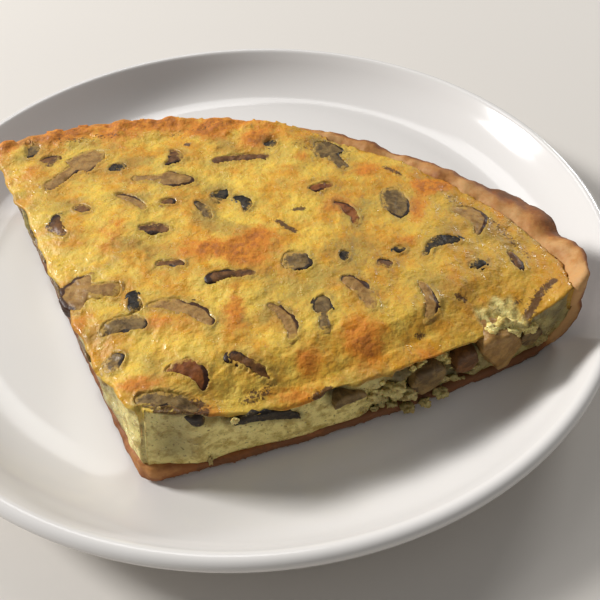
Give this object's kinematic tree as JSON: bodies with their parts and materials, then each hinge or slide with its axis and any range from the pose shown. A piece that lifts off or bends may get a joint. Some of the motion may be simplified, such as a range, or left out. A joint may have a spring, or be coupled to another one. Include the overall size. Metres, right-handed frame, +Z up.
{
  "type": "mushroom quiche slice on a plate",
  "caption": "Quarter of a baked mushroom quiche, with its pastry base and rim, lying on a round white coupe plate.",
  "frame": {"origin": "middle of the plate's foot, on the surface that the plate stands on", "axes": "+Z up, -Y towards the slice's tip, +X towards its right corner"},
  "size_m": [0.22, 0.22, 0.0357],
  "materials": {
    "glazed_white": "white glazed ceramic, smooth and glossy",
    "baked_pastry": "baked shortcrust pastry, dry, golden to brown",
    "baked_custard": "baked egg and cheese custard, golden and moist on top, pale where cut",
    "cooked_mushroom": "cooked mushroom, brown to almost black, moist"
  },
  "bodies": {
    "root": {"plate": "glazed_white", "crust": "baked_pastry", "custard": "baked_custard", "mushroom_top_01": "cooked_mushroom", "mushroom_top_02": "cooked_mushroom", "mushroom_top_03": "cooked_mushroom", "mushroom_top_04": "cooked_mushroom", "mushroom_top_05": "cooked_mushroom", "mushroom_top_06": "cooked_mushroom", "mushroom_top_07": "cooked_mushroom", "mushroom_top_08": "cooked_mushroom", "mushroom_top_09": "cooked_mushroom", "mushroom_top_10": "cooked_mushroom", "mushroom_top_11": "cooked_mushroom", "mushroom_top_12": "cooked_mushroom", "mushroom_top_13": "cooked_mushroom", "mushroom_top_14": "cooked_mushroom", "mushroom_top_15": "cooked_mushroom", "mushroom_top_16": "cooked_mushroom", "mushroom_top_17": "cooked_mushroom", "mushroom_top_18": "cooked_mushroom", "mushroom_top_19": "cooked_mushroom", "mushroom_top_20": "cooked_mushroom", "mushroom_top_21": "cooked_mushroom", "mushroom_top_22": "cooked_mushroom", "mushroom_top_23": "cooked_mushroom", "mushroom_top_24": "cooked_mushroom", "mushroom_top_25": "cooked_mushroom", "mushroom_top_26": "cooked_mushroom", "mushroom_top_27": "cooked_mushroom", "mushroom_top_28": "cooked_mushroom", "mushroom_top_29": "cooked_mushroom", "mushroom_top_30": "cooked_mushroom", "mushroom_top_31": "cooked_mushroom", "mushroom_top_32": "cooked_mushroom", "mushroom_top_33": "cooked_mushroom", "mushroom_top_34": "cooked_mushroom", "mushroom_top_35": "cooked_mushroom", "mushroom_top_36": "cooked_mushroom", "mushroom_top_37": "cooked_mushroom", "mushroom_top_38": "cooked_mushroom", "mushroom_top_39": "cooked_mushroom", "mushroom_top_40": "cooked_mushroom", "mushroom_top_41": "cooked_mushroom", "mushroom_top_42": "cooked_mushroom", "mushroom_front_01": "cooked_mushroom", "mushroom_front_02": "cooked_mushroom", "mushroom_front_03": "cooked_mushroom", "mushroom_front_04": "cooked_mushroom", "mushroom_front_05": "cooked_mushroom", "mushroom_front_06": "cooked_mushroom", "mushroom_left_01": "cooked_mushroom", "mushroom_left_02": "cooked_mushroom", "mushroom_left_03": "cooked_mushroom", "mushroom_left_04": "cooked_mushroom"}
  },
  "joints": []
}
